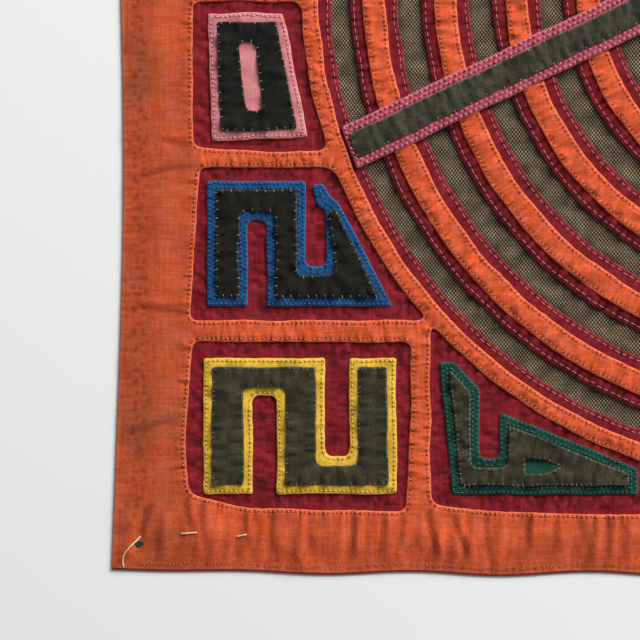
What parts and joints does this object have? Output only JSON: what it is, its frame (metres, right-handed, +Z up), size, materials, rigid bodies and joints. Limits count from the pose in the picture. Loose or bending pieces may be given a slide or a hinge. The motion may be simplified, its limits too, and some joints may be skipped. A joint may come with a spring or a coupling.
{
  "type": "mola panel",
  "caption": "Rectangular mola panel of layered cotton: concentric cut-work rings in a round field, pointed bands across them and meander patches in bordered windows.",
  "frame": {"origin": "middle of the panel's underside, in the plane it lies on", "axes": "+X along the width, +Y towards the top edge, +Z up out of the sewn face"},
  "size_m": [0.4532, 0.3866, 0.0062],
  "materials": {
    "olive_cloth": "coarse plain weave of tan and black threads, matt",
    "red_cloth": "plain cotton, matt",
    "orange_cloth": "plain cotton, faded, matt",
    "pink_cloth": "plain cotton, matt",
    "blue_cloth": "plain cotton, matt",
    "yellow_cloth": "plain cotton, matt",
    "green_cloth": "plain cotton, matt",
    "moss_cloth": "olive plain weave, matt",
    "black_cloth": "near black plain cotton, matt"
  },
  "bodies": {
    "root": {"backing": "olive_cloth", "band_left_rim": "pink_cloth", "band_left_top": "moss_cloth", "band_right_rim": "pink_cloth", "band_right_top": "moss_cloth", "lower_left_block_rim": "pink_cloth", "lower_left_block_top": "black_cloth", "lower_left_corner_meander_rim": "yellow_cloth", "lower_left_corner_meander_top": "moss_cloth", "lower_left_ring_meander_rim": "blue_cloth", "lower_left_ring_meander_top": "black_cloth", "lower_left_step_rim": "green_cloth", "lower_left_step_top": "moss_cloth", "lower_right_block_rim": "blue_cloth", "lower_right_block_top": "black_cloth", "lower_right_corner_meander_rim": "pink_cloth", "lower_right_corner_meander_top": "moss_cloth", "lower_right_ring_meander_rim": "yellow_cloth", "lower_right_ring_meander_top": "black_cloth", "lower_right_step_rim": "green_cloth", "lower_right_step_top": "moss_cloth", "orange_dot": "orange_cloth", "orange_ring_1": "orange_cloth", "orange_ring_2": "orange_cloth", "orange_ring_3": "orange_cloth", "orange_ring_4": "orange_cloth", "orange_ring_5": "orange_cloth", "orange_ring_6": "orange_cloth", "orange_top": "orange_cloth", "red_dot": "red_cloth", "red_ground": "red_cloth", "red_ring_1": "red_cloth", "red_ring_2": "red_cloth", "red_ring_3": "red_cloth", "red_ring_4": "red_cloth", "red_ring_5": "red_cloth", "red_ring_6": "red_cloth", "upper_left_block_rim": "yellow_cloth", "upper_left_block_top": "black_cloth", "upper_left_corner_meander_rim": "blue_cloth", "upper_left_corner_meander_top": "moss_cloth", "upper_left_ring_meander_rim": "green_cloth", "upper_left_ring_meander_top": "black_cloth", "upper_left_step_rim": "pink_cloth", "upper_left_step_top": "moss_cloth", "upper_right_block_rim": "green_cloth", "upper_right_block_top": "black_cloth", "upper_right_corner_meander_rim": "yellow_cloth", "upper_right_corner_meander_top": "moss_cloth", "upper_right_ring_meander_rim": "pink_cloth", "upper_right_ring_meander_top": "black_cloth", "upper_right_step_rim": "blue_cloth", "upper_right_step_top": "moss_cloth"}
  },
  "joints": []
}
